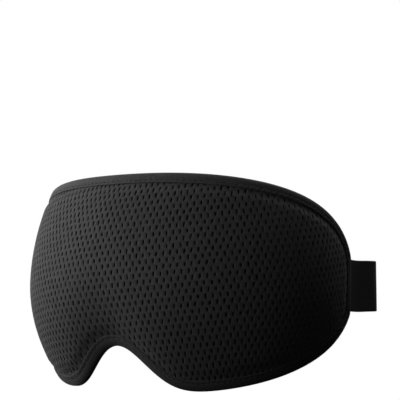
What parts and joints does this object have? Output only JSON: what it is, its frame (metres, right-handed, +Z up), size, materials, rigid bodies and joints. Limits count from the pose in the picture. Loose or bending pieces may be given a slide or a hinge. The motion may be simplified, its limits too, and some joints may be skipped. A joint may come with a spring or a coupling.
{
  "type": "sleep eye mask",
  "caption": "Contoured foam sleep mask with moulded eye cups, perforated outer cover, bound edge and adjustable elastic head strap.",
  "frame": {"origin": "face side of the nose ridge, on the centre plane, level with the strap's centre line where it is sewn on", "axes": "+X to the mask's right as seen from its outside, +Y towards the back of the head, +Z up"},
  "size_m": [0.1724, 0.1924, 0.1006],
  "materials": {
    "outer_mesh": "matte",
    "blackout_cloth": "matte",
    "foam": "matte",
    "face_knit": "matte",
    "binding_tape": "matte",
    "thread": "matte",
    "elastic": "matte",
    "black_plastic": "satin"
  },
  "bodies": {
    "mask": {"outer_mesh_cover": "outer_mesh", "blackout_liner": "blackout_cloth", "foam_core": "foam", "face_lining": "face_knit", "edge_binding": "binding_tape", "binding_needle_thread": "thread", "binding_bobbin_thread": "thread", "strap_anchor_left": "elastic", "strap_anchor_right": "elastic", "anchor_tack_left": "thread", "anchor_tack_right": "thread"},
    "strap": {"strap_left": "elastic", "strap_ring": "black_plastic", "ring_tack": "thread", "strap_doubled_loop": "elastic", "strap_back": "elastic"},
    "slider": {"strap_slider": "black_plastic", "strap_slider_pass": "elastic", "strap_bar_loop": "elastic", "slider_tack": "thread"}
  },
  "joints": [
    {"name": "strap_swing", "type": "hinge", "parent": "mask", "child": "strap", "pos_m": [0, 0.08494, -0.0013], "axis": [1, 0, 0], "range_deg": [-30, 35], "stiffness_Nm_per_rad": 0.05},
    {"name": "slider_slide", "type": "slide", "parent": "strap", "child": "slider", "axis": [-0.6428, -0.765, -0.0408], "range_m": [0, 0.024], "deforming": ["strap_doubled_loop"]}
  ]
}
